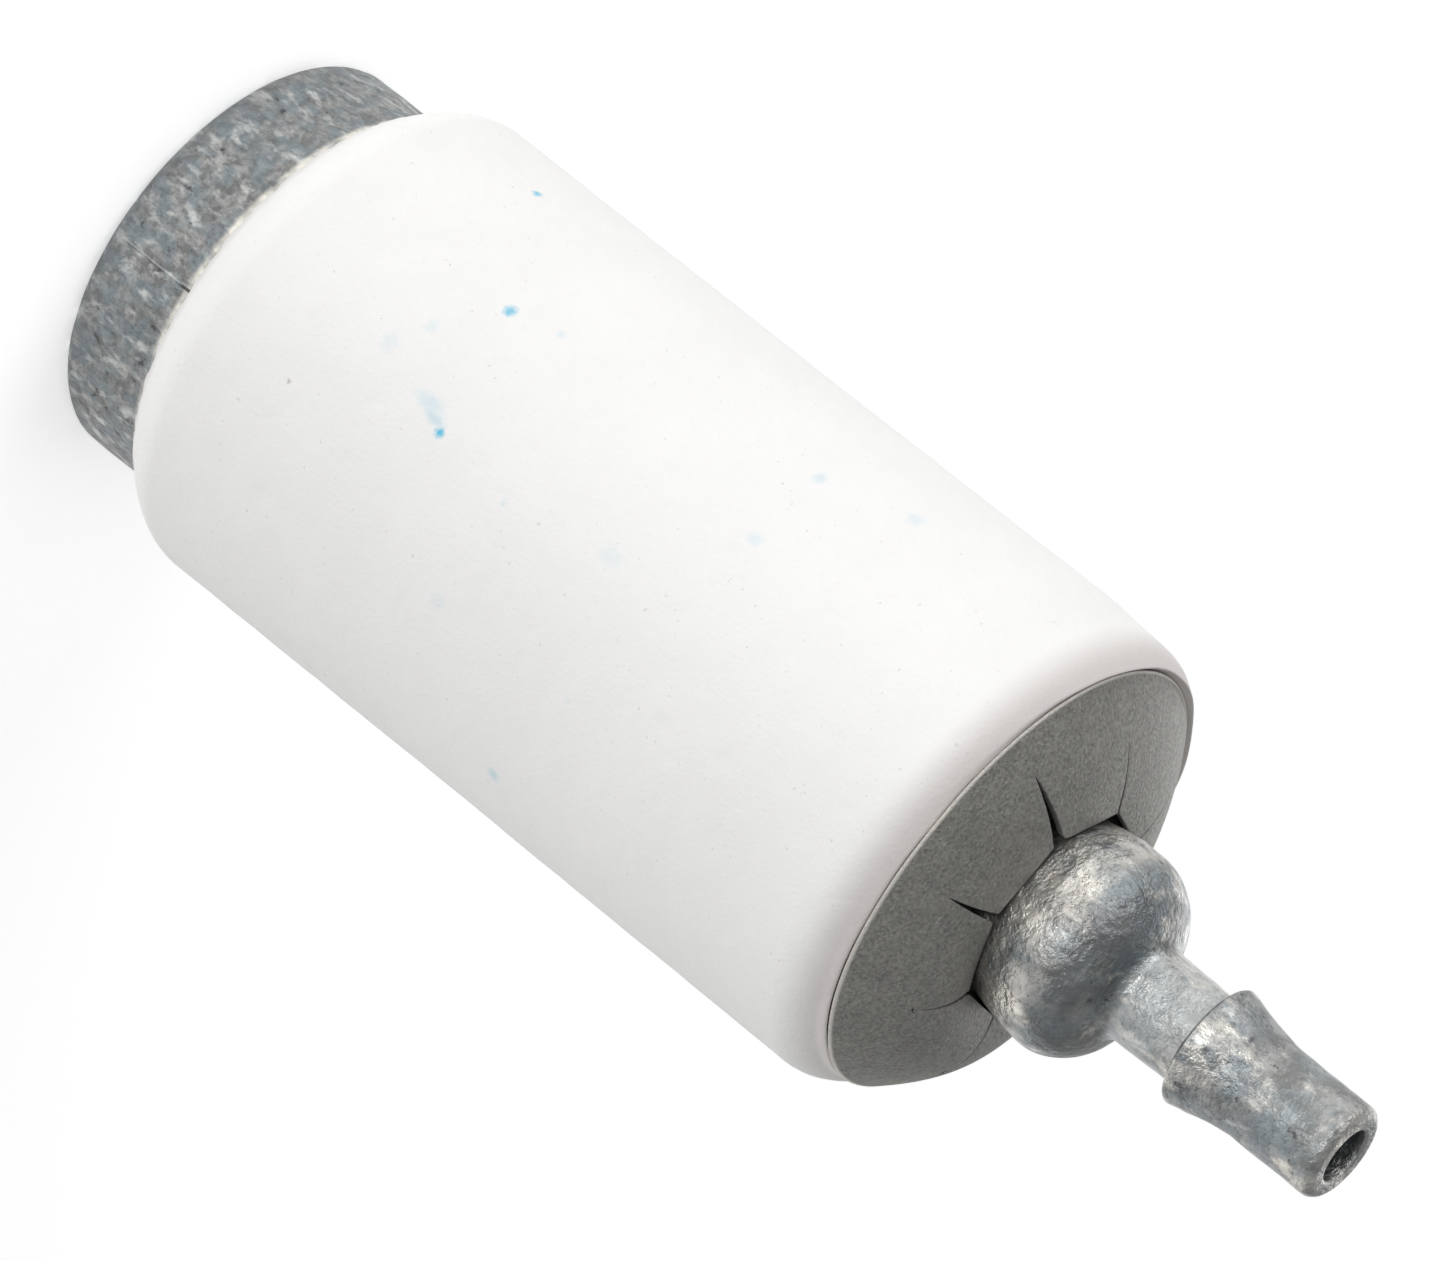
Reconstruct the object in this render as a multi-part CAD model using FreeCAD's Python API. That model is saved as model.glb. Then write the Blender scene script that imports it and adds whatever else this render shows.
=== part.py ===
import FreeCAD, Part
import math
import os

# In-tank fuel filter of a small two-stroke engine, in millimetres.
# The filter stands on its weight: +Z is its axis, and z = 0 is the weight's flat end.

# Driving dimensions
overall_length = 44.4
tank_hose_bore_r = 1.5          # the hose is 3 mm inside
sleeve_outer_r = 7.95
sleeve_length = 28.15
weight_exposed_height = 3.5

# End weight
weight_r = 6.8
weight_edge_round = 0.6
weight_top_round = 0.15
weight_spigot_height = 2.5
stem_socket_floor = 1.5

# Porous sleeve
sleeve_foot = weight_exposed_height
sleeve_top = sleeve_foot + sleeve_length
sleeve_bore_r = 5.4
sleeve_foot_r = sleeve_outer_r + 0.18
sleeve_waist_r = sleeve_outer_r + 0.02
foot_face_r = 7.05
foot_shoulder_height = 1.7
lip_height = 1.0
bore_clearance = 0.03

# Dished retaining washer, which snaps over the fitting
washer_rim_r = 7.22
washer_rise = 1.42              # of its underside, from the rim to the hole
washer_half_way_rise = 1.06     # and from the rim to half way between them
washer_thickness = 0.25
washer_hole_flats_r = 3.2
slit_count = 8
slit_width = 0.14
slit_end_r = 5.7
wide_slit_width = 0.33
wide_slit_end_r = 6.2
wide_slit_angle = -117.0        # degrees from +X

# Outlet fitting
dome_r = 3.3
dome_round = 1.85
dome_straight_top = sleeve_top + 3.2
dome_straight_foot = sleeve_top + 2.25
groove_r = 3.05                 # the washer sits round the groove, under the dome
groove_top = sleeve_top + 1.9
fitting_foot = sleeve_top - 2.25
fitting_socket_depth = 3.0
neck_foot = sleeve_top + 5.4
neck_foot_r = 1.6
neck_r = tank_hose_bore_r - 0.02
barb_foot = sleeve_top + 7.65
barb_r = 1.97
barb_edge_round = 0.12
spigot_foot = sleeve_top + 9.8
spigot_r = tank_hose_bore_r + 0.06
spigot_tip_round = 0.4
outlet_bore_r = 0.85

# Core stem, which ties the fitting to the weight
stem_r = 2.0
stem_bore_r = 1.1
port_r = 0.45
port_rows = 4
ports_per_row = 4
first_port_height = 9.0
port_pitch = 5.4

# Support cage and mesh screen
cage_r = 5.05
cage_hole_r = 2.2
cage_ring_height = 1.2
cage_top_hole_r = 3.6
rib_count = 6
rib_width = 0.8
rib_depth = 1.1
hoop_count = 4
hoop_depth = 0.6
hoop_height = 0.7
screen_thickness = 0.2
screen_end_gap = 0.5
screen_hole_r = 0.6
screen_rows = 12
screen_holes_round = 16

# Seals
weight_seal_height = 0.5
outlet_seal_plug_height = 1.3
outlet_seal_flange_r = 6.6
outlet_seal_edge = 0.3
outlet_seal_crown_r = 5.6
outlet_seal_top = 0.8

spigot_top = weight_exposed_height + weight_spigot_height
cage_foot = spigot_top + weight_seal_height
cage_top = sleeve_top - outlet_seal_plug_height

AXIS = FreeCAD.Vector(0, 0, 1)
ORIGIN = FreeCAD.Vector(0, 0, 0)


def turned(outline):
    """Spin a closed outline round the axis.

    Each step is the (radius, height) where it ends, or four numbers for an arc:
    a point that the arc passes, then its end.
    """
    edges = []
    here = FreeCAD.Vector(outline[0][0], 0, outline[0][1])
    start = here
    for step in outline[1:]:
        there = FreeCAD.Vector(step[-2], 0, step[-1])
        if len(step) == 4:
            passed = FreeCAD.Vector(step[0], 0, step[1])
            edges.append(Part.Arc(here, passed, there).toShape())
        else:
            edges.append(Part.LineSegment(here, there).toShape())
        here = there
    edges.append(Part.LineSegment(here, start).toShape())
    return Part.Face(Part.Wire(edges)).revolve(ORIGIN, AXIS, 360)


def on_circle(centre_r, centre_z, radius, degrees):
    """A point (radius, height) on a circle drawn in the outline's plane."""
    angle = math.radians(degrees)
    return centre_r + radius * math.cos(angle), centre_z + radius * math.sin(angle)


def shoulder(full_r, face_r, full_z, face_z):
    """The middle point of an arc that leaves the side upright and ends on the end face."""
    inward = full_r - face_r
    height = face_z - full_z
    radius = (inward ** 2 + height ** 2) / (2 * inward)
    swept = math.degrees(math.asin(height / radius))
    return on_circle(full_r - radius, full_z, radius, swept / 2)


def tube(outer_r, inner_r, foot, top):
    """A plain ring or tube on the axis."""
    return turned([(inner_r, foot), (outer_r, foot), (outer_r, top), (inner_r, top)])


def spun(shape, degrees):
    """A copy of a shape, turned about the axis."""
    copy = shape.copy()
    copy.rotate(ORIGIN, AXIS, degrees)
    return copy


def radial_drill(radius, height, reach):
    """A cylinder that crosses the axis at a height, to cut two opposite holes."""
    start = FreeCAD.Vector(-reach, 0, height)
    return Part.makeCylinder(radius, 2 * reach, start, FreeCAD.Vector(1, 0, 0))


def end_weight():
    """Die-cast weight: a drum outside the sleeve, a spigot inside it and a blind socket."""
    foot_middle = on_circle(weight_r - weight_edge_round, weight_edge_round, weight_edge_round, -45)
    top_centre = weight_exposed_height - weight_top_round
    top_middle = on_circle(weight_r - weight_top_round, top_centre, weight_top_round, 45)
    spigot_r_outer = sleeve_bore_r - bore_clearance
    return turned([
        (0, 0),
        (weight_r - weight_edge_round, 0),
        (*foot_middle, weight_r, weight_edge_round),
        (weight_r, top_centre),
        (*top_middle, weight_r - weight_top_round, weight_exposed_height),
        (spigot_r_outer, weight_exposed_height),
        (spigot_r_outer, spigot_top),
        (stem_r, spigot_top),
        (stem_r, stem_socket_floor),
        (0, stem_socket_floor),
    ])


def filter_sleeve():
    """Porous plastic tube with a rounded shoulder at its foot and a rounded lip at its top."""
    foot_full_z = sleeve_foot + foot_shoulder_height
    lip_full_z = sleeve_top - lip_height
    foot_middle = shoulder(sleeve_foot_r, foot_face_r, foot_full_z, sleeve_foot)
    lip_middle = shoulder(sleeve_outer_r, washer_rim_r, lip_full_z, sleeve_top)
    waist_z = (foot_full_z + lip_full_z) / 2
    return turned([
        (sleeve_bore_r, sleeve_foot),
        (foot_face_r, sleeve_foot),
        (*foot_middle, sleeve_foot_r, foot_full_z),
        (sleeve_waist_r, waist_z),
        (sleeve_outer_r, lip_full_z),
        (*lip_middle, washer_rim_r, sleeve_top),
        (sleeve_bore_r, sleeve_top),
    ])


def slit(width, end_r):
    """A radial cutter from the axis to the end of a slit, with a round end."""
    height = overall_length
    end_centre = FreeCAD.Vector(end_r - width / 2, 0, 0)
    bar = Part.makeBox(end_r - width / 2, width, height, FreeCAD.Vector(0, -width / 2, 0))
    return bar.fuse(Part.makeCylinder(width / 2, height, end_centre, AXIS))


def retaining_washer():
    """Dished spring washer, with an octagonal hole and a slit from each of its corners."""
    hole_z = sleeve_top + washer_rise
    middle_r = (washer_rim_r + groove_r) / 2
    middle_z = sleeve_top + washer_half_way_rise
    washer = turned([
        (groove_r, hole_z),
        (middle_r, middle_z, washer_rim_r, sleeve_top),
        (washer_rim_r, sleeve_top + washer_thickness),
        (middle_r, middle_z + washer_thickness, groove_r, hole_z + washer_thickness),
    ])
    corner_r = washer_hole_flats_r / math.cos(math.pi / slit_count)
    corners = []
    for index in range(slit_count + 1):
        angle = math.radians(wide_slit_angle + index * 360 / slit_count)
        corners.append(FreeCAD.Vector(corner_r * math.cos(angle), corner_r * math.sin(angle), 0))
    hole = Part.Face(Part.makePolygon(corners)).extrude(AXIS * overall_length)
    washer = washer.cut(hole)
    for index in range(slit_count):
        if index == 0:
            cutter = slit(wide_slit_width, wide_slit_end_r)
        else:
            cutter = slit(slit_width, slit_end_r)
        washer = washer.cut(spun(cutter, wide_slit_angle + index * 360 / slit_count))
    return washer


def outlet_fitting():
    """Die-cast fitting: a domed boss that the washer grips, a neck and one hose barb."""
    centre_r = dome_r - dome_round
    dome_end_r = neck_foot_r + 0.25
    dome_swept = math.degrees(math.acos((dome_end_r - centre_r) / dome_round))
    dome_middle = on_circle(centre_r, dome_straight_top, dome_round, dome_swept / 2)
    dome_end = on_circle(centre_r, dome_straight_top, dome_round, dome_swept)
    edge_middle = on_circle(barb_r - barb_edge_round, barb_foot + barb_edge_round, barb_edge_round, -45)
    taper_middle_r = (barb_r + spigot_r) / 2 - 0.05
    taper_middle_z = (barb_foot + spigot_foot) / 2
    tip_z = overall_length - spigot_tip_round
    tip_middle = on_circle(spigot_r - spigot_tip_round, tip_z, spigot_tip_round, 45)
    socket_top = fitting_foot + fitting_socket_depth
    return turned([
        (stem_r, fitting_foot),
        (groove_r, fitting_foot),
        (groove_r, groove_top),
        (dome_r, dome_straight_foot),
        (dome_r, dome_straight_top),
        (*dome_middle, *dome_end),
        (neck_foot_r, neck_foot),
        (neck_r, barb_foot),
        (barb_r - barb_edge_round, barb_foot),
        (*edge_middle, barb_r, barb_foot + barb_edge_round),
        (taper_middle_r, taper_middle_z, spigot_r, spigot_foot),
        (spigot_r, tip_z),
        (*tip_middle, spigot_r - spigot_tip_round, overall_length),
        (outlet_bore_r, overall_length),
        (outlet_bore_r, socket_top),
        (stem_r, socket_top),
    ])


def core_stem():
    """Hollow stem with rows of ports, pressed into the weight and into the fitting."""
    stem = tube(stem_r, stem_bore_r, stem_socket_floor, fitting_foot + fitting_socket_depth)
    drills = []
    for row in range(port_rows):
        drill = radial_drill(port_r, first_port_height + row * port_pitch, 2 * stem_r)
        for index in range(ports_per_row // 2):
            drills.append(spun(drill, index * 360 / ports_per_row + row * 180 / ports_per_row))
    return stem.cut(Part.makeCompound(drills))


def support_cage():
    """Moulded cage of ribs and hoops, which keeps the sleeve from caving in."""
    rings = [
        tube(cage_r, cage_hole_r, cage_foot, cage_foot + cage_ring_height),
        tube(cage_r, cage_top_hole_r, cage_top - cage_ring_height, cage_top),
    ]
    hoop_pitch = (cage_top - cage_foot) / (hoop_count + 1)
    for index in range(hoop_count):
        foot = cage_foot + (index + 1) * hoop_pitch - hoop_height / 2
        rings.append(tube(cage_r, cage_r - hoop_depth, foot, foot + hoop_height))
    corner = FreeCAD.Vector(cage_r - rib_depth, -rib_width / 2, cage_foot)
    bar = Part.makeBox(2 * rib_depth, rib_width, cage_top - cage_foot, corner)
    rib = bar.common(tube(cage_r, cage_r - rib_depth, cage_foot, cage_top))
    ribs = [spun(rib, index * 360 / rib_count) for index in range(rib_count)]
    return rings[0].fuse(rings[1:] + ribs).removeSplitter()


def inner_screen():
    """Fine mesh tube round the cage, drawn as a thin wall with a grid of holes."""
    foot = cage_foot + screen_end_gap
    top = cage_top - screen_end_gap
    screen = tube(cage_r + screen_thickness, cage_r, foot, top)
    pitch = (top - foot) / (screen_rows + 1)
    drills = []
    for row in range(screen_rows):
        drill = radial_drill(screen_hole_r, foot + (row + 1) * pitch, 2 * cage_r)
        for index in range(screen_holes_round // 2):
            drills.append(spun(drill, index * 360 / screen_holes_round))
    return screen.cut(Part.makeCompound(drills))


def weight_seal():
    """Flat rubber ring between the weight's spigot and the cage, which closes the sleeve's foot."""
    return tube(sleeve_bore_r - bore_clearance, stem_r, spigot_top, cage_foot)


def outlet_seal():
    """Rubber bush under the washer, which closes the sleeve's top round the fitting."""
    return turned([
        (groove_r, cage_top),
        (sleeve_bore_r, cage_top),
        (sleeve_bore_r, sleeve_top),
        (outlet_seal_flange_r, sleeve_top),
        (outlet_seal_flange_r, sleeve_top + outlet_seal_edge),
        (outlet_seal_crown_r, sleeve_top + outlet_seal_top),
        (groove_r, sleeve_top + outlet_seal_top),
    ])


PIECES = [
    end_weight,
    filter_sleeve,
    retaining_washer,
    outlet_fitting,
    core_stem,
    support_cage,
    inner_screen,
    weight_seal,
    outlet_seal,
]


def main():
    """Build each piece and write it to its own STEP file."""
    os.makedirs("parts", exist_ok=True)
    for make in PIECES:
        shape = make()
        shape.exportStep("parts/" + make.__name__ + ".step")
        box = shape.BoundBox
        print(make.__name__, len(shape.Solids), shape.isValid(), round(shape.Volume, 2),
              round(box.XLength, 2), round(box.ZMin, 2), round(box.ZMax, 2))


main()
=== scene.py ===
import math

import bmesh
import bpy
from mathutils import Matrix, Vector, noise


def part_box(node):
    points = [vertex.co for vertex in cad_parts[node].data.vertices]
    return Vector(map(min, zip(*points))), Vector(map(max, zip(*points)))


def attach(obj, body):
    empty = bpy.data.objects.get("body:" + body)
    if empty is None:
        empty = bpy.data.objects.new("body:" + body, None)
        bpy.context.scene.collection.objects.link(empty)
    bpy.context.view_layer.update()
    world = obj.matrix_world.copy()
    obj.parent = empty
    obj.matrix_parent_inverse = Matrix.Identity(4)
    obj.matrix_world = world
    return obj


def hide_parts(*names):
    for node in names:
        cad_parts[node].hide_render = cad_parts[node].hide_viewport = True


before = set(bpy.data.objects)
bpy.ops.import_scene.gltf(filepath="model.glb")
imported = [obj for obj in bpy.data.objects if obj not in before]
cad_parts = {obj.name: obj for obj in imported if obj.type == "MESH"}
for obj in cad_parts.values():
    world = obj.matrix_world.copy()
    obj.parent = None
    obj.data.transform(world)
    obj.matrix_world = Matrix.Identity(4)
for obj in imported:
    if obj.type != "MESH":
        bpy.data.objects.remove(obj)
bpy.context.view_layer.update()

# Everything here is in millimetres until a mesh is written, which is in metres.
MM = 0.001
TURN = 2 * math.pi

# Heights and radii that come from the frame
WEIGHT_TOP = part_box("filter_sleeve")[0][2] / MM
SLEEVE_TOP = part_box("filter_sleeve")[1][2] / MM
SLEEVE_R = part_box("filter_sleeve")[1][0] / MM
SPIGOT_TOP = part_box("end_weight")[1][2] / MM
WEIGHT_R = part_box("end_weight")[1][0] / MM
WASHER_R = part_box("retaining_washer")[1][0] / MM
DOME_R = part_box("outlet_fitting")[1][0] / MM
FITTING_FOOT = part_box("outlet_fitting")[0][2] / MM
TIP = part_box("outlet_fitting")[1][2] / MM
STEM_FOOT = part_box("core_stem")[0][2] / MM
STEM_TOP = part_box("core_stem")[1][2] / MM
STEM_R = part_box("core_stem")[1][0] / MM

# The sleeve
BORE_R = 5.4
FOOT_FACE_R = 7.08
FOOT_SHOULDER = 1.7
LIP_HEIGHT = 1.65
LIP_RISE = 0.42                  # the lip stands this much higher on the -X side
LIP_FALL = 0.25                  # and this much lower on the +X side
SLEEVE_SHIFT = -0.05             # the sleeve and the weight sit a little off the axis
WEIGHT_SHIFT = -0.10

# The washer
WASHER_THICKNESS = 0.25
WASHER_EDGE = 0.15               # its rim's upper edge stands this much above the sleeve
WASHER_RISE = 1.52               # and the edge of its hole this much above the rim's
HOLE_FLATS_R = 3.2               # from the axis to the hole's eight flats
HOLE_CORNER_R = 3.46             # and to its corners

# The washer's slits: degrees from +X at the hole and at the slit's end, radius of the end, width
SLITS = [
    (-119, -116, 6.1, 0.48),
    (-72, -76, 5.75, 0.34),
    (-25, -36, 5.4, 0.20),
    (20, 17, 5.4, 0.12),
    (63, 62, 5.5, 0.14),
    (107, 107, 5.4, 0.12),
    (151, 150, 5.5, 0.12),
    (194, 204, 5.5, 0.14),
]

# The fitting
GROOVE_R = 3.06
NECK_R = 1.49
BARB_R = 1.97
SPIGOT_R = 1.56
OUTLET_BORE_R = 0.86

# The camera looks at the filter from this far above its waist, and is rolled so that
# the filter lies across the picture.
LOOK_DOWN = math.radians(23.84)
AXIS_ROLL = math.radians(38.55)
SENSOR_MM = 36.0
LENS_MM = 194.25
RIM_DISTANCE = 217.7             # from the lens to the middle of the washer's rim
RIM_RIGHT = 7.98                 # the rim's middle lies this far right of the view's middle
RIM_DOWN = 6.95


# Outlines: lists of (radius, height), walked once round a section of the piece

def arc(centre_r, centre_z, radius, start, end, points=12):
    """Points on a circle in the outline's plane, from one angle to another, in degrees."""
    steps = [math.radians(start + (end - start) * i / points) for i in range(points + 1)]
    return [(centre_r + radius * math.cos(a), centre_z + radius * math.sin(a)) for a in steps]


def shoulder(full_r, face_r, height, power, points=14):
    """A round from an upright side to an end face: (inward, along) offsets from the side.

    The higher the power, the tighter the round.
    """
    steps = [i / points for i in range(points + 1)]
    return [((full_r - face_r) * t ** power, height * t) for t in steps]


def densify(outline, step, closed):
    """The same outline with more points, none further apart than the step."""
    ends = outline[1:] + outline[:1] if closed else outline[1:]
    dense = []
    for (r0, z0), (r1, z1) in zip(outline, ends):
        count = max(1, math.ceil(math.hypot(r1 - r0, z1 - z0) / step))
        for i in range(count):
            dense.append((r0 + (r1 - r0) * i / count, z0 + (z1 - z0) * i / count))
    if not closed:
        dense.append(outline[-1])
    return dense


def sleeve_outline():
    """The sleeve, which is widest above its foot, and whose lip closes on the washer's rim."""
    foot_r = SLEEVE_R - 0.04
    waist_r = SLEEVE_R - 0.14
    lip_r = SLEEVE_R - 0.18
    lip_face_r = WASHER_R + 0.02
    lip_top = SLEEVE_TOP + 0.09
    seat_r = WASHER_R - 0.16
    seat = SLEEVE_TOP - 0.12
    foot_full = WEIGHT_TOP + FOOT_SHOULDER
    lip_full = lip_top - LIP_HEIGHT
    foot = shoulder(foot_r, FOOT_FACE_R, FOOT_SHOULDER, 1.8)
    lip = shoulder(lip_r, lip_face_r, LIP_HEIGHT, 3.2)
    outline = [(BORE_R, WEIGHT_TOP)]
    outline += [(foot_r - inward, foot_full - down) for inward, down in reversed(foot)]
    outline += [(waist_r, (foot_full + lip_full) / 2)]
    outline += [(lip_r - inward, lip_full + up) for inward, up in lip]
    outline += [(seat_r, seat), (BORE_R, seat)]
    return densify(outline, 0.12, True)


def weight_outline():
    """The drum and, inside the sleeve, its spigot with the blind socket for the stem."""
    edge = 0.55
    worn = 0.15
    spigot_r = BORE_R - 0.03
    outline = [(0, 0)]
    outline += arc(WEIGHT_R - edge, edge, edge, -90, 0)
    outline += arc(WEIGHT_R - worn, WEIGHT_TOP - worn, worn, 0, 90, 6)
    outline += [
        (spigot_r, WEIGHT_TOP),
        (spigot_r, SPIGOT_TOP),
        (STEM_R, SPIGOT_TOP),
        (STEM_R, STEM_FOOT),
        (0, STEM_FOOT),
    ]
    return densify(outline, 0.1, False)


def barb_taper(foot, top, steps=12):
    """The barb's hollow taper, from its sharp edge to the plain land."""
    shares = [i / steps for i in range(1, steps + 1)]
    fall = BARB_R - SPIGOT_R
    return [(SPIGOT_R + fall * (1 - t) ** 1.35, foot + (top - foot) * t) for t in shares]


def fitting_outline():
    """The foot in the washer's hole, the dome, the neck, the barb, the land and the bore."""
    dome_round = 1.85
    dome_top = SLEEVE_TOP + 3.2
    fillet = 0.55
    neck_foot = SLEEVE_TOP + 4.96
    barb_foot = SLEEVE_TOP + 7.65
    barb_edge = 0.11
    taper_top = SLEEVE_TOP + 9.8
    tip_round = 0.36
    bore_round = 0.1
    outline = [(STEM_R, FITTING_FOOT), (GROOVE_R, FITTING_FOOT)]
    outline += [(GROOVE_R, SLEEVE_TOP + 1.45), (DOME_R - 0.13, SLEEVE_TOP + 1.95)]
    outline += [(DOME_R - 0.02, SLEEVE_TOP + 2.5)]
    outline += arc(DOME_R - dome_round, dome_top, dome_round, 0, 72, 24)
    outline += arc(NECK_R + 0.05 + fillet, neck_foot + fillet, fillet, 262, 182, 10)
    outline += [(NECK_R, barb_foot)]
    outline += arc(BARB_R - barb_edge, barb_foot + barb_edge, barb_edge, -90, 0, 6)
    outline += barb_taper(barb_foot + barb_edge, taper_top)
    outline += [(SPIGOT_R, TIP - tip_round - 0.1)]
    outline += arc(SPIGOT_R - tip_round, TIP - tip_round, tip_round, 15, 82, 10)
    outline += arc(OUTLET_BORE_R + bore_round, TIP - bore_round, bore_round, 90, 180, 5)
    outline += [(OUTLET_BORE_R, STEM_TOP), (STEM_R, STEM_TOP)]
    return densify(outline, 0.08, True)


# Meshes

def mesh_object(name, mesh):
    """Scale a mesh from millimetres to metres and put it in the scene."""
    mesh.transform(Matrix.Scale(MM, 4))
    for polygon in mesh.polygons:
        polygon.use_smooth = True
    piece = bpy.data.objects.new(name, mesh)
    bpy.context.scene.collection.objects.link(piece)
    return piece


def turned(name, outline, segments, closed, warp):
    """Spin an outline round the axis; warp moves each point, to make the piece uneven."""
    mesh = bpy.data.meshes.new(name)
    build = bmesh.new()
    rings = []
    for r, z in outline:
        if r < 1e-6:
            rings.append([build.verts.new((0, 0, z))])
            continue
        ring = []
        for i in range(segments):
            angle = TURN * i / segments
            point = Vector((r * math.cos(angle), r * math.sin(angle), z))
            ring.append(build.verts.new(warp(point, r, angle)))
        rings.append(ring)
    pairs = list(zip(rings, rings[1:]))
    if closed:
        pairs.append((rings[-1], rings[0]))
    for low, high in pairs:
        for i in range(segments):
            j = (i + 1) % segments
            if len(low) == 1:
                build.faces.new((low[0], high[j], high[i]))
            elif len(high) == 1:
                build.faces.new((low[i], low[j], high[0]))
            else:
                build.faces.new((low[i], low[j], high[j], high[i]))
    bmesh.ops.recalc_face_normals(build, faces=build.faces)
    build.to_mesh(mesh)
    build.free()
    return mesh_object(name, mesh)


def smooth(value, low, high):
    """0 below low, 1 above high, and an even curve between."""
    part = min(1.0, max(0.0, (value - low) / (high - low)))
    return part * part * (3 - 2 * part)


def lumps(point, size, seed):
    """Noise from -1 to 1 with lumps of about this size."""
    return noise.noise(point / size + Vector((seed, 2.7 * seed, -seed)))


def sleeve_warp(point, r, angle):
    """The sleeve's gentle waves, its ragged foot and the lip that stands up on one side."""
    side = math.cos(angle)
    outside = smooth(r, 6.0, 6.7)
    waves = 0.035 * (0.5 + 0.5 * lumps(point, 5.0, 3.0))
    grain = 0.012 * (1 + lumps(point, 0.9, 5.0))
    pits = 0.02 * smooth(lumps(point, 0.5, 8.0), 0.35, 0.8)
    narrow = 0.13 * max(0.0, -side) * smooth(point.z, SLEEVE_TOP - 3.2, SLEEVE_TOP - 1.0)
    narrow += 0.22 * max(0.0, side) * smooth(point.z, SLEEVE_TOP - 1.6, SLEEVE_TOP - 0.2)
    shrink = outside * (waves + grain + pits) + narrow * smooth(r, WASHER_R, WASHER_R + 0.4)
    near_foot = 1 - smooth(point.z, WEIGHT_TOP, WEIGHT_TOP + 0.5)
    ragged = near_foot * outside * (0.06 * lumps(point, 0.35, 11.0) + 0.05 * lumps(point, 1.3, 12.0))
    near_lip = smooth(point.z, SLEEVE_TOP - 3.2, SLEEVE_TOP)
    lift = LIP_RISE * max(0.0, -side) * smooth(r, WASHER_R, WASHER_R + 0.28)
    drop = LIP_FALL * max(0.0, side) * outside
    uneven = outside * 0.07 * lumps(point, 2.6, 17.0)
    scale = (r - shrink) / r
    z = point.z + ragged + near_lip * (lift - drop + uneven)
    return Vector((point.x * scale + SLEEVE_SHIFT * outside, point.y * scale, z))


def cast_warp(depth, seed, shift_at):
    """A warp that gives a casting its dents, which only take metal away, and a sideways shift."""
    def warp(point, r, _angle):
        outside = smooth(r, 1.2, 1.5)
        dents = 0.5 + 0.5 * lumps(point, 0.9, seed)
        small = 0.5 + 0.5 * lumps(point, 0.32, seed + 4)
        cut = outside * depth * (0.7 * dents + 0.3 * small)
        scale = (r - cut) / r
        return Vector((point.x * scale + shift_at(point.z, r), point.y * scale, point.z))
    return warp


def weight_shift(_z, r):
    """The weight's drum sits a little to one side; its spigot does not."""
    return WEIGHT_SHIFT * smooth(r, BORE_R, BORE_R + 0.8)


def fitting_lean(z, _r):
    """The fitting leans, a little more towards its tip."""
    return 0.12 * smooth(z, SLEEVE_TOP + 1.6, SLEEVE_TOP + 4) + 0.06 * smooth(z, SLEEVE_TOP + 3, TIP)


def make_sleeve():
    return turned("sleeve_skin", sleeve_outline(), segments=400, closed=True, warp=sleeve_warp)


def make_weight():
    warp = cast_warp(depth=0.05, seed=21.0, shift_at=weight_shift)
    return turned("weight_body", weight_outline(), segments=360, closed=False, warp=warp)


def make_fitting():
    warp = cast_warp(depth=0.06, seed=31.0, shift_at=fitting_lean)
    return turned("fitting_body", fitting_outline(), segments=240, closed=True, warp=warp)


def washer_height(r, angle):
    """Height of the washer's upper face: steep at the rim, flatter at the hole, fuller on one side."""
    across = min(1.0, max(0.0, (r - HOLE_FLATS_R) / (WASHER_R - HOLE_FLATS_R)))
    side = max(0.0, math.cos(angle))
    full = side * (0.50 * math.sin(math.pi * across) - 0.22 * across ** 2)
    return SLEEVE_TOP + WASHER_EDGE + WASHER_RISE * (1 - across ** 1.9) + full


def slit_angle(index, r):
    """Where round the axis a slit lies at a radius."""
    at_hole, at_end, end_r = SLITS[index % len(SLITS)][:3]
    reach = min(1.0, max(0.0, (r - HOLE_CORNER_R) / (end_r - HOLE_CORNER_R)))
    lap = TURN * (index // len(SLITS))
    return math.radians(at_hole + (at_end - at_hole) * reach ** 0.6) + lap


def slit_gap(index, r):
    """Half the width of a slit at a radius: it narrows from the hole to nothing."""
    end_r, width = SLITS[index % len(SLITS)][2:]
    start_r = HOLE_CORNER_R * 0.9
    left = max(0.0, 1 - (r - start_r) / (end_r - start_r))
    return 0.5 * width * left ** 0.8


def tongue(build, index):
    """One of the washer's sectors, from the middle of one slit to the middle of the next.

    Points near either side slide back, which opens the slit between two sectors.
    """
    across = 28
    along = 44
    half_turn = (slit_angle(index + 1, 0) - slit_angle(index, 0)) / 2
    grid = []
    for v in range(along + 1):
        row = []
        for u in range(across + 1):
            share = u / across
            swing = (share - 0.5) * 2 * half_turn
            hole_r = HOLE_CORNER_R * math.cos(half_turn) / math.cos(swing)
            r = hole_r + (WASHER_R - hole_r) * v / along
            side = index if share < 0.5 else index + 1
            edge = abs(share - 0.5) * 2
            slide = -math.copysign(slit_gap(side, r) * edge ** 6, swing)
            angle = slit_angle(index, r) * (1 - share) + slit_angle(index + 1, r) * share
            x = r * math.cos(angle) - slide * math.sin(angle)
            y = r * math.sin(angle) + slide * math.cos(angle)
            row.append(build.verts.new((x, y, washer_height(r, angle))))
        grid.append(row)
    for v in range(along):
        for u in range(across):
            build.faces.new((grid[v][u], grid[v][u + 1], grid[v + 1][u + 1], grid[v + 1][u]))


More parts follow.
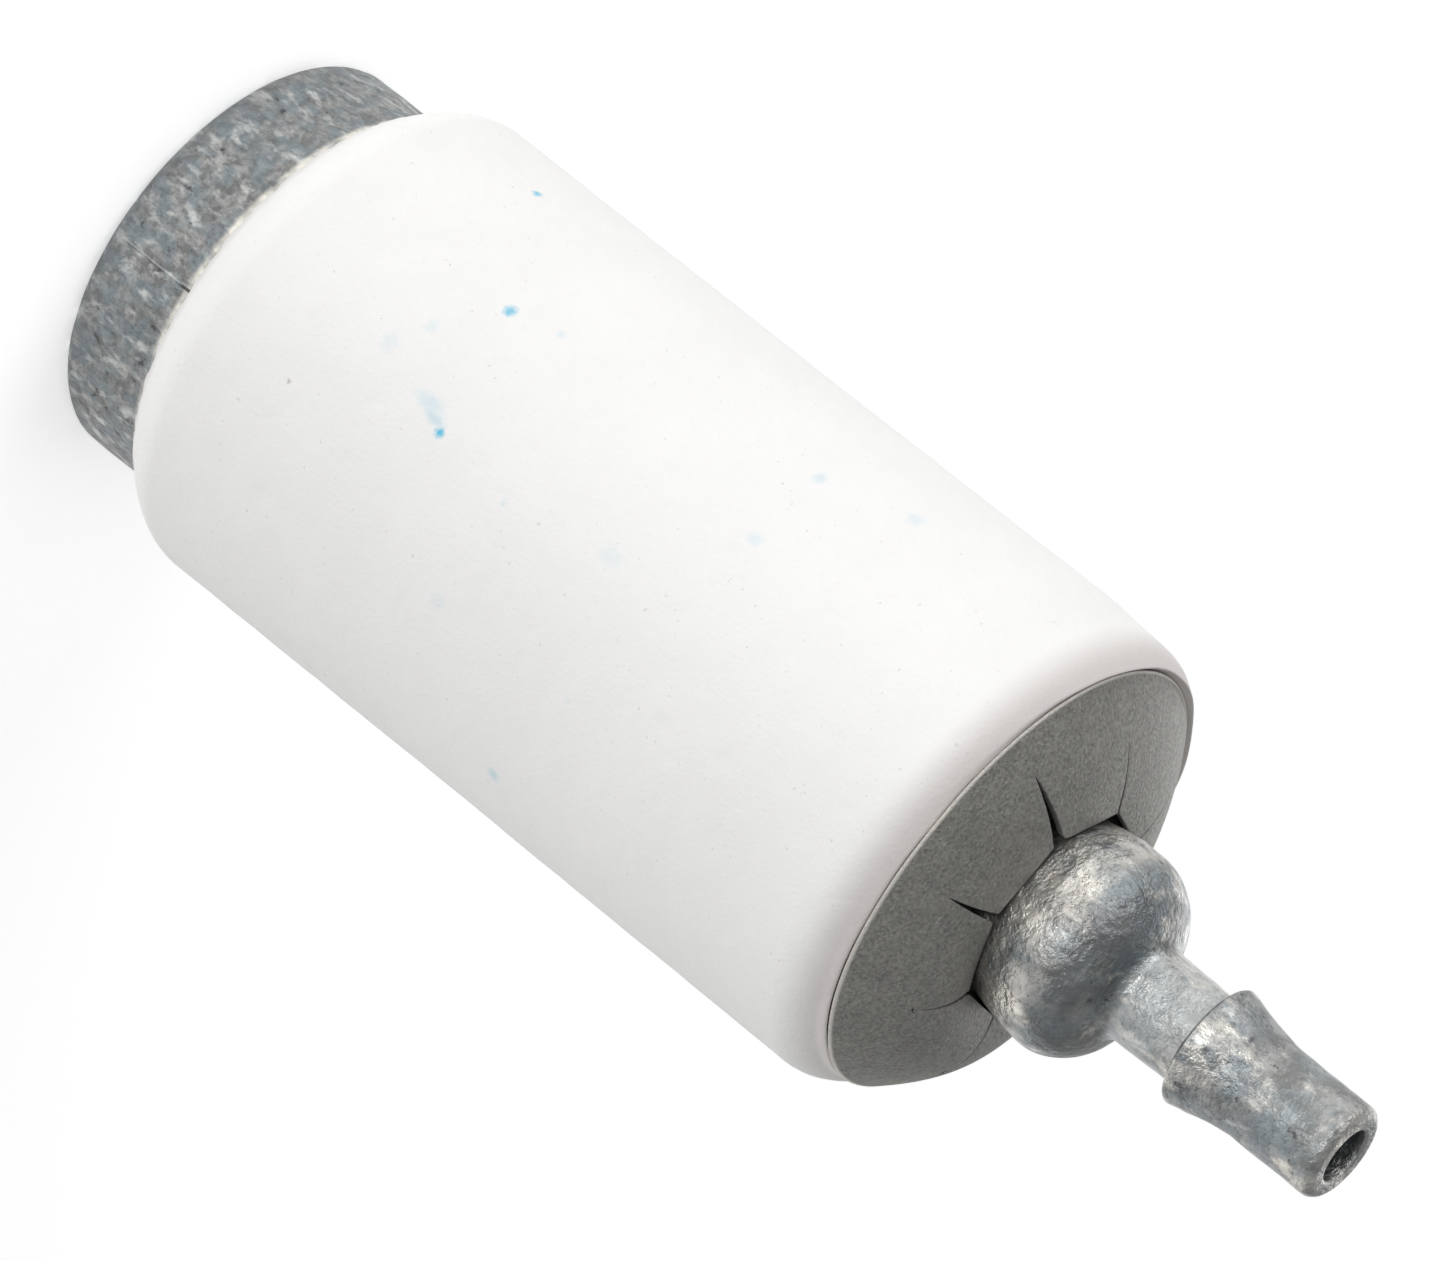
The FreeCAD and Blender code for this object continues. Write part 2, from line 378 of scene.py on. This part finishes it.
def make_washer():
    """The dished washer, as a sheet with slits that is then given its thickness."""
    mesh = bpy.data.meshes.new("washer_plate")
    build = bmesh.new()
    for index in range(len(SLITS)):
        tongue(build, index)
    bmesh.ops.remove_doubles(build, verts=build.verts, dist=0.002)
    bmesh.ops.recalc_face_normals(build, faces=build.faces)
    if sum(face.normal.z for face in build.faces) < 0:
        bmesh.ops.reverse_faces(build, faces=build.faces)
    build.to_mesh(mesh)
    build.free()
    piece = mesh_object("washer_plate", mesh)
    plate = piece.modifiers.new("thickness", "SOLIDIFY")
    plate.thickness = WASHER_THICKNESS * MM
    plate.offset = -1
    edges = piece.modifiers.new("edges", "BEVEL")
    edges.width = 0.035 * MM
    edges.segments = 2
    edges.limit_method = "ANGLE"
    edges.angle_limit = math.radians(50)
    return piece


# Materials

def new_material(name):
    material = bpy.data.materials.new(name)
    material.use_nodes = True
    return material, material.node_tree.nodes, material.node_tree.links


def object_coords(nodes, links):
    """Object coordinates in millimetres."""
    coords = nodes.new("ShaderNodeTexCoord")
    scaled = nodes.new("ShaderNodeVectorMath")
    scaled.operation = "SCALE"
    scaled.inputs["Scale"].default_value = 1 / MM
    links.new(coords.outputs["Object"], scaled.inputs[0])
    return scaled.outputs["Vector"]


def remap(nodes, links, value, low, high, curve="LINEAR", to_low=0.0, to_high=1.0):
    """A value taken from between low and high to between two others, by default 0 and 1."""
    node = nodes.new("ShaderNodeMapRange")
    node.interpolation_type = curve
    node.inputs["From Min"].default_value = low
    node.inputs["From Max"].default_value = high
    node.inputs["To Min"].default_value = to_low
    node.inputs["To Max"].default_value = to_high
    links.new(value, node.inputs["Value"])
    return node.outputs["Result"]


def math_node(nodes, links, operation, first, second):
    """One Math node; each input is a number or a socket."""
    node = nodes.new("ShaderNodeMath")
    node.operation = operation
    for socket, value in zip(node.inputs, (first, second)):
        if isinstance(value, (int, float)):
            socket.default_value = value
        else:
            links.new(value, socket)
    return node.outputs["Value"]


def vector_node(nodes, links, operation, first, second, output="Vector"):
    """One Vector Math node on a socket and a constant vector."""
    node = nodes.new("ShaderNodeVectorMath")
    node.operation = operation
    links.new(first, node.inputs[0])
    node.inputs[1].default_value = second
    return node.outputs[output]


def noise_mask(nodes, links, where, size, low, high, detail=4.0, stretch=None):
    """A 0 to 1 mask from noise with lumps of about this size, cut between low and high."""
    if stretch:
        mapping = nodes.new("ShaderNodeMapping")
        mapping.inputs["Scale"].default_value = stretch
        links.new(where, mapping.inputs["Vector"])
        where = mapping.outputs["Vector"]
    texture = nodes.new("ShaderNodeTexNoise")
    texture.inputs["Scale"].default_value = 1 / size
    texture.inputs["Detail"].default_value = detail
    texture.inputs["Roughness"].default_value = 0.6
    links.new(where, texture.inputs["Vector"])
    return remap(nodes, links, texture.outputs["Fac"], low, high)


def mix(nodes, links, mask, first, second):
    """Blend two colours, each a tuple or a socket, by a mask."""
    blend = nodes.new("ShaderNodeMix")
    blend.data_type = "RGBA"
    links.new(mask, blend.inputs["Factor"])
    for socket, value in ((blend.inputs["A"], first), (blend.inputs["B"], second)):
        if isinstance(value, tuple):
            socket.default_value = (*value, 1)
        else:
            links.new(value, socket)
    return blend.outputs["Result"]


def tint(nodes, links, colour, mask, strength, tone):
    """Lay a tone over a colour where the mask says, at a strength from 0 to 1."""
    return mix(nodes, links, math_node(nodes, links, "MULTIPLY", mask, strength), colour, tone)


def reach_mask(nodes, links, where, axis, low, high):
    """A 0 to 1 mask of how far a point lies along the axis ("Z"), or out from it ("R")."""
    split = nodes.new("ShaderNodeSeparateXYZ")
    links.new(where, split.inputs["Vector"])
    value = split.outputs["Z"]
    if axis == "R":
        across = math_node(nodes, links, "POWER", split.outputs["X"], 2.0)
        along = math_node(nodes, links, "POWER", split.outputs["Y"], 2.0)
        value = math_node(nodes, links, "SQRT", math_node(nodes, links, "ADD", across, along), 0.0)
    return remap(nodes, links, value, low, high, "SMOOTHSTEP")


def seam_mask(nodes, links, where, degrees, half_width):
    """A 0 to 1 mask of a thin line along the axis, on one side of a round piece."""
    out = Vector((math.cos(math.radians(degrees)), math.sin(math.radians(degrees)), 0))
    across = Vector((-out.y, out.x, 0))
    sideways = vector_node(nodes, links, "DOT_PRODUCT", where, across, "Value")
    outward = vector_node(nodes, links, "DOT_PRODUCT", where, out, "Value")
    off_line = math_node(nodes, links, "ABSOLUTE", sideways, 0.0)
    on_line = math_node(nodes, links, "LESS_THAN", off_line, half_width)
    near_side = math_node(nodes, links, "GREATER_THAN", outward, 0.0)
    return math_node(nodes, links, "MULTIPLY", on_line, near_side)


def bump(nodes, links, height, distance, strength, previous=None):
    """A Bump node on a height in 0 to 1, with its depth in millimetres."""
    node = nodes.new("ShaderNodeBump")
    node.inputs["Distance"].default_value = distance * MM
    node.inputs["Strength"].default_value = strength
    links.new(height, node.inputs["Height"])
    if previous is not None:
        links.new(previous, node.inputs["Normal"])
    return node.outputs["Normal"]


def fleck(nodes, links, where, degrees, height, size, length, strength, radius):
    """A soft-edged mask round one point on the sleeve, drawn out along the sleeve."""
    angle = math.radians(degrees)
    centre = Vector((radius * math.cos(angle), radius * math.sin(angle), height))
    offset = vector_node(nodes, links, "SUBTRACT", where, centre)
    shape = vector_node(nodes, links, "MULTIPLY", offset, (1 / size, 1 / size, 1 / length))
    reach = vector_node(nodes, links, "LENGTH", shape, (0, 0, 0), "Value")
    return remap(nodes, links, reach, 1.0, 0.15, "SMOOTHSTEP", 0.0, strength)


# Flecks of blue resin in the sleeve: degrees round from +X, height, half width, half length, strength
BLUE_FLECKS = [
    (211, 8.9, 0.22, 0.22, 0.85),
    (242, 12.0, 0.31, 0.29, 0.80),
    (267.5, 12.3, 0.38, 0.80, 0.20),
    (271, 13.1, 0.22, 0.24, 1.0),
    (269.5, 12.75, 0.22, 0.55, 0.30),
    (255, 10.7, 0.35, 0.30, 0.10),
    (263, 10.1, 0.50, 0.40, 0.09),
    (239, 13.6, 0.20, 0.20, 0.16),
    (274, 16.0, 0.18, 0.18, 0.18),
    (269, 19.6, 0.45, 0.60, 0.10),
    (299, 15.8, 0.40, 0.40, 0.10),
    (298, 20.8, 0.20, 0.20, 0.10),
    (328, 19.2, 0.36, 0.34, 0.34),
    (248, 22.4, 0.34, 0.40, 0.14),
    (227, 22.1, 0.38, 0.28, 0.22),
    (219, 24.8, 0.50, 0.38, 0.14),
    (120, 9.5, 0.22, 0.25, 0.70),
    (95, 19.0, 0.40, 0.60, 0.30),
    (60, 14.0, 0.18, 0.18, 0.80),
    (20, 22.5, 0.35, 0.30, 0.25),
]

# Dark specks: degrees round from +X, height, half width
DARK_SPECKS = [
    (282, 8.3, 0.11),
    (331, 15.6, 0.12),
    (301, 20.4, 0.10),
    (234, 21.6, 0.09),
    (294, 13.6, 0.08),
    (80, 12.0, 0.10),
    (150, 22.0, 0.09),
    (20, 8.0, 0.11),
]


def frayed_coords(nodes, links, where, reach, size):
    """Coordinates shaken by noise, so that the edges of a mask fray by up to half the reach."""
    shake = nodes.new("ShaderNodeTexNoise")
    shake.inputs["Scale"].default_value = 1 / size
    shake.inputs["Detail"].default_value = 3.0
    links.new(where, shake.inputs["Vector"])
    push = nodes.new("ShaderNodeVectorMath")
    push.operation = "MULTIPLY_ADD"
    push.inputs[1].default_value = (reach, reach, reach)
    links.new(shake.outputs["Color"], push.inputs[0])
    links.new(where, push.inputs[2])
    return vector_node(nodes, links, "SUBTRACT", push.outputs["Vector"], (reach / 2,) * 3)


def porous_plastic():
    """White sintered plastic: a fine grain of beads, faint tone, blue flecks, a few specks, and painted
    shade at its lip and its foot.
    """
    material, nodes, links = new_material("porous_plastic")
    shader = nodes["Principled BSDF"]
    shader.inputs["Roughness"].default_value = 0.78
    shader.inputs["Specular IOR Level"].default_value = 0.25
    shader.inputs["Sheen Weight"].default_value = 0.12
    where = object_coords(nodes, links)
    frayed = frayed_coords(nodes, links, where, 0.26, 1 / 5.5)
    skin_r = SLEEVE_R - 0.1
    tone = noise_mask(nodes, links, where, 3.0, 0.35, 0.7)
    colour = mix(nodes, links, tone, (0.865, 0.860, 0.850), (0.845, 0.840, 0.830))
    # Painted shade: the sleeve darkens towards its lip, where its round turns in under the washer's rim.
    lip = reach_mask(nodes, links, where, "Z", SLEEVE_TOP - 1.3, SLEEVE_TOP)
    colour = tint(nodes, links, colour, lip, 0.8, (0.63, 0.585, 0.57))
    # Painted shade: a grey band round the sleeve's foot, in the gap against the weight.
    edge = reach_mask(nodes, links, where, "Z", WEIGHT_TOP + 0.45, WEIGHT_TOP + 0.1)
    colour = tint(nodes, links, colour, edge, 0.35, (0.60, 0.58, 0.55))
    for degrees, height, size, length, strength in BLUE_FLECKS:
        mask = fleck(nodes, links, frayed, degrees, height, size, length, strength, skin_r)
        colour = mix(nodes, links, mask, colour, (0.10, 0.50, 0.70))
    for degrees, height, size in DARK_SPECKS:
        mask = fleck(nodes, links, frayed, degrees, height, size, size, 0.55, skin_r)
        colour = mix(nodes, links, mask, colour, (0.28, 0.22, 0.19))
    pepper = noise_mask(nodes, links, where, 0.16, 0.735, 0.80, 1.0)
    colour = tint(nodes, links, colour, pepper, 0.35, (0.42, 0.40, 0.38))
    links.new(colour, shader.inputs["Base Color"])
    beads = nodes.new("ShaderNodeTexVoronoi")
    beads.inputs["Scale"].default_value = 6.5
    links.new(where, beads.inputs["Vector"])
    grain = noise_mask(nodes, links, where, 0.12, 0.2, 0.8, 3.0)
    normal = bump(nodes, links, beads.outputs["Distance"], 0.02, 0.35)
    normal = bump(nodes, links, grain, 0.015, 0.4, normal)
    links.new(normal, shader.inputs["Normal"])
    return material


# Colours of the zinc castings
ZINC_GREY = (0.44, 0.44, 0.43)
ZINC_DARK = (0.17, 0.175, 0.18)
# A bright zinc tone, for worn spots and for painted highlights.
ZINC_WEAR_AND_HIGHLIGHT = (0.88, 0.84, 0.77)


def cast_zinc(name, base, bright, dark, lump, wear, worn_rough, bands, seams):
    """Die-cast zinc: flow marks, blue-grey blotches, pits, bright worn spots, bands and seams; some bands
    and seams are painted highlight and painted shade.

    lump scales the marks, wear is how bright the worn spots are, and worn_rough how rough.
    A band is its lower and upper height, the reach of its fade, its colour and its strength.
    A seam is degrees round from +X, half width, lower height, colour and strength.
    """
    material, nodes, links = new_material(name)
    shader = nodes["Principled BSDF"]
    shader.inputs["Metallic"].default_value = 0.86
    where = object_coords(nodes, links)
    blotch = noise_mask(nodes, links, where, 0.8 * lump, 0.40, 0.60, 5.0)
    fine = noise_mask(nodes, links, where, 0.2, 0.3, 0.7, 4.0)
    cold = noise_mask(nodes, links, where, 1.5 * lump, 0.42, 0.62, 3.0, (1.0, 1.3, 0.9))
    worn = noise_mask(nodes, links, where, 1.1 * lump, 0.54, 0.70, 6.0, (1.1, 0.9, 0.6))
    streak = noise_mask(nodes, links, where, 0.5 * lump, 0.50, 0.72, 5.0, (1.2, 1.2, 0.35))
    pits = noise_mask(nodes, links, where, 0.34, 0.66, 0.72, 2.0)
    colour = mix(nodes, links, blotch, base, tuple(0.52 * c for c in base))
    coats = [
        (cold, 0.7, (0.27, 0.33, 0.36)),
        (fine, 0.45, dark),
        (streak, 0.45, dark),
        (worn, wear, bright),
        (pits, 0.65, (0.05, 0.05, 0.055)),
    ]
    for mask, strength, tone in coats:
        colour = tint(nodes, links, colour, mask, strength, tone)
    patches = noise_mask(nodes, links, where, 1.1, 0.36, 0.6)
    for low, high, fade, tone, strength in bands:
        above = reach_mask(nodes, links, where, "Z", low - fade, low + fade)
        below = reach_mask(nodes, links, where, "Z", high + fade, high - fade)
        band = math_node(nodes, links, "MULTIPLY", above, below)
        patchy = math_node(nodes, links, "MULTIPLY", band, patches)
        colour = tint(nodes, links, colour, patchy, strength, tone)
    for degrees, half_width, low, tone, strength in seams:
        line = seam_mask(nodes, links, where, degrees, half_width)
        above = reach_mask(nodes, links, where, "Z", low - 0.1, low + 0.1)
        line = math_node(nodes, links, "MULTIPLY", line, above)
        colour = tint(nodes, links, colour, line, strength, tone)
    links.new(colour, shader.inputs["Base Color"])
    rough = remap(nodes, links, worn, 0.0, 1.0, to_low=worn_rough + 0.16, to_high=worn_rough)
    links.new(rough, shader.inputs["Roughness"])
    normal = bump(nodes, links, blotch, 0.05, 0.6)
    normal = bump(nodes, links, streak, 0.03, 0.5, normal)
    normal = bump(nodes, links, fine, 0.02, 0.6, normal)
    links.new(normal, shader.inputs["Normal"])
    return material


def weight_zinc():
    """The weight's zinc: painted shade at its foot, a bright top edge that is wear and a painted
    highlight, painted shade in the gap under the sleeve, and a faint parting line drawn with a painted
    highlight and painted shade.
    """
    bands = [
        # Painted shade: darker towards the far end, where the drum's edge rounds away.
        (-1.0, 0.6, 0.4, ZINC_DARK, 0.7),
        # Worn edge and painted highlight: a bright band along the top edge beside the sleeve.
        (WEIGHT_TOP - 0.3, WEIGHT_TOP - 0.05, 0.1, ZINC_WEAR_AND_HIGHLIGHT, 1.0),
        # Painted shade: black above the drum's top, in the gap under the sleeve's ragged foot.
        (WEIGHT_TOP, WEIGHT_TOP + 1, 0.05, (0.05, 0.05, 0.05), 1.0),
    ]
    seams = [
        # The parting line: a pale stripe beside a dark one, its painted highlight and painted shade, and a
        # black mark near the top edge.
        (282.2, 0.030, 0.6, (0.62, 0.64, 0.63), 0.28),
        (282.7, 0.025, 0.6, (0.07, 0.07, 0.07), 0.30),
        (282.5, 0.050, WEIGHT_TOP - 0.50, (0.03, 0.03, 0.03), 0.8),
    ]
    return cast_zinc(
        "weight_zinc", ZINC_GREY, bright=(0.70, 0.71, 0.69), dark=(0.11, 0.115, 0.12),
        lump=0.42, wear=0.72, worn_rough=0.36, bands=bands, seams=seams,
    )


def fitting_zinc():
    """The fitting's zinc: a bright dome band that is wear and a painted highlight, a dark shoulder band
    that is painted shade, a pale neck band that is a painted highlight and a bright tip band that is wear
    and a painted highlight.
    """
    bands = [
        # Wear and painted highlight: a bright band round the dome.
        (SLEEVE_TOP + 1.0, SLEEVE_TOP + 3.5, 0.35, ZINC_WEAR_AND_HIGHLIGHT, 0.62),
        # Painted shade: a dark band where the shoulder faces up, standing in for a dark reflection.
        (SLEEVE_TOP + 3.9, SLEEVE_TOP + 4.8, 0.30, ZINC_DARK, 0.65),
        # Painted highlight: a pale band along the neck.
        (SLEEVE_TOP + 5.2, SLEEVE_TOP + 7.6, 0.15, (0.64, 0.66, 0.65), 0.5),
        # Wear and painted highlight: a bright band on the tip's rounded rim.
        (TIP - 0.25, TIP + 1, 0.10, ZINC_WEAR_AND_HIGHLIGHT, 0.4),
    ]
    return cast_zinc(
        "fitting_zinc", ZINC_GREY, bright=ZINC_WEAR_AND_HIGHLIGHT, dark=ZINC_DARK,
        lump=1.0, wear=0.90, worn_rough=0.20, bands=bands, seams=[],
    )


def dull_steel():
    """Dull spring steel: an even grain, faint streaks, a few bright specks and a bright cut edge that is
    partly a painted highlight.
    """
    material, nodes, links = new_material("washer_steel")
    shader = nodes["Principled BSDF"]
    shader.inputs["Metallic"].default_value = 0.75
    shader.inputs["Roughness"].default_value = 0.58
    where = object_coords(nodes, links)
    cloud = noise_mask(nodes, links, where, 1.8, 0.35, 0.65)
    grain = noise_mask(nodes, links, where, 0.11, 0.3, 0.7, 3.0)
    streak = noise_mask(nodes, links, where, 0.35, 0.45, 0.7, 4.0, (0.5, 1.4, 1.0))
    specks = noise_mask(nodes, links, where, 0.2, 0.64, 0.74, 2.0)
    colour = mix(nodes, links, cloud, (0.400, 0.395, 0.368), (0.345, 0.340, 0.318))
    colour = tint(nodes, links, colour, grain, 0.85, (0.155, 0.153, 0.145))
    colour = tint(nodes, links, colour, streak, 0.3, (0.42, 0.41, 0.39))
    colour = tint(nodes, links, colour, specks, 0.6, (0.50, 0.50, 0.48))
    # Cut edge and painted highlight: a bright ring at the washer's outer rim.
    cut_edge_and_highlight = reach_mask(nodes, links, where, "R", WASHER_R - 0.10, WASHER_R - 0.03)
    colour = tint(nodes, links, colour, cut_edge_and_highlight, 0.9, (0.80, 0.77, 0.72))
    links.new(colour, shader.inputs["Base Color"])
    normal = bump(nodes, links, grain, 0.03, 0.6)
    links.new(normal, shader.inputs["Normal"])
    return material


def simple_grain(name, first, second, size, metallic, roughness, depth):
    """A plain two-tone material with a fine bump, for the pieces sealed inside."""
    material, nodes, links = new_material(name)
    shader = nodes["Principled BSDF"]
    shader.inputs["Metallic"].default_value = metallic
    shader.inputs["Roughness"].default_value = roughness
    where = object_coords(nodes, links)
    cloud = noise_mask(nodes, links, where, size, 0.35, 0.65)
    grain = noise_mask(nodes, links, where, size / 8, 0.3, 0.7)
    links.new(mix(nodes, links, cloud, first, second), shader.inputs["Base Color"])
    links.new(bump(nodes, links, grain, depth, 0.5), shader.inputs["Normal"])
    return material


def dress(piece, material):
    """Give a piece one material."""
    piece.data.materials.clear()
    piece.data.materials.append(material)


def dress_node(name, material):
    """Give a carried-over CAD node a better material."""
    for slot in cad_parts[name].material_slots:
        slot.material = material


# Stage

def floor_material():
    material, nodes, links = new_material("floor_paint")
    shader = nodes["Principled BSDF"]
    shader.inputs["Roughness"].default_value = 0.9
    shader.inputs["Emission Strength"].default_value = 0.48
    shader.inputs["Emission Color"].default_value = (1, 1, 1, 1)
    where = object_coords(nodes, links)
    tone = noise_mask(nodes, links, where, 40.0, 0.3, 0.7)
    links.new(mix(nodes, links, tone, (0.93, 0.93, 0.93), (0.92, 0.92, 0.92)), shader.inputs["Base Color"])
    return material


def make_floor():
    mesh = bpy.data.meshes.new("floor")
    half = 1500
    corners = [(-half, -half, 0), (half, -half, 0), (half, half, 0), (-half, half, 0)]
    mesh.from_pydata(corners, [], [(0, 1, 2, 3)])
    floor = mesh_object("floor", mesh)
    dress(floor, floor_material())


def look_frame():
    """The view's right, up and back directions, in the part's frame."""
    side = Vector((1, 0, 0))
    along = Vector((0, math.sin(LOOK_DOWN), math.cos(LOOK_DOWN)))
    back = Vector((0, -math.cos(LOOK_DOWN), math.sin(LOOK_DOWN)))
    right = math.cos(AXIS_ROLL) * along - math.sin(AXIS_ROLL) * side
    up = -math.sin(AXIS_ROLL) * along - math.cos(AXIS_ROLL) * side
    return right, up, back


def make_camera():
    right, up, back = look_frame()
    rim = Vector((0, 0, SLEEVE_TOP))
    place = rim - RIM_RIGHT * right + RIM_DOWN * up + RIM_DISTANCE * back
    data = bpy.data.cameras.new("camera")
    data.lens = LENS_MM
    data.sensor_width = SENSOR_MM
    data.sensor_fit = "HORIZONTAL"
    data.clip_start = 0.01
    data.clip_end = 20
    camera = bpy.data.objects.new("camera", data)
    camera.matrix_world = Matrix.Translation(place * MM) @ Matrix((right, up, back)).transposed().to_4x4()
    bpy.context.scene.collection.objects.link(camera)
    bpy.context.scene.camera = camera


def soft_light(name, place, target, size, power):
    """A square softbox that faces the target; places and sizes are in millimetres."""
    data = bpy.data.lights.new(name, "AREA")
    data.size = size * MM
    data.energy = power
    light = bpy.data.objects.new(name, data)
    light.location = Vector(place) * MM
    aim = Vector(target) - Vector(place)
    light.rotation_euler = aim.to_track_quat("-Z", "Y").to_euler()
    bpy.context.scene.collection.objects.link(light)


def make_lights():
    middle = (0, 0, 20)
    soft_light("key", (-320, -130, 150), middle, 240, 0.42)
    soft_light("front", (0, -400, 80), middle, 60, 0.34)
    soft_light("back", (-130, 380, 120), middle, 220, 0.27)
    world = bpy.data.worlds.new("studio")
    world.use_nodes = True
    sky = world.node_tree.nodes["Background"]
    sky.inputs["Color"].default_value = (1.0, 1.0, 1.0, 1)
    sky.inputs["Strength"].default_value = 0.40
    bpy.context.scene.world = world
    bpy.context.scene.view_settings.view_transform = "Standard"


def make_pieces():
    """The four visible pieces, each with its material and the CAD node it stands for."""
    pieces = [
        (make_sleeve(), "filter_sleeve", "porous_plastic", porous_plastic()),
        (make_weight(), "end_weight", "weight_zinc", weight_zinc()),
        (make_washer(), "retaining_washer", "washer_steel", dull_steel()),
        (make_fitting(), "outlet_fitting", "fitting_zinc", fitting_zinc()),
    ]
    for piece, node, slot, material in pieces:
        dress(piece, material)
        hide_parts(node)
        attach(piece, "root")


def dress_inner_nodes():
    """Materials for the five pieces inside the sleeve, which keep their CAD shape."""
    rubber = simple_grain(
        "seal_rubber", (0.025, 0.025, 0.026), (0.04, 0.04, 0.04),
        size=1.2, metallic=0.0, roughness=0.65, depth=0.02,
    )
    steel = simple_grain(
        "stem_steel", (0.42, 0.42, 0.41), (0.34, 0.34, 0.33),
        size=0.8, metallic=0.9, roughness=0.35, depth=0.01,
    )
    mesh = simple_grain(
        "screen_steel", (0.50, 0.50, 0.48), (0.40, 0.40, 0.39),
        size=0.6, metallic=0.9, roughness=0.4, depth=0.02,
    )
    nylon = simple_grain(
        "cage_plastic", (0.74, 0.72, 0.66), (0.68, 0.66, 0.60),
        size=1.5, metallic=0.0, roughness=0.5, depth=0.02,
    )
    dress_node("core_stem", steel)
    dress_node("inner_screen", mesh)
    dress_node("support_cage", nylon)
    dress_node("weight_seal", rubber)
    dress_node("outlet_seal", rubber)


make_camera()
make_lights()
make_floor()
make_pieces()
dress_inner_nodes()
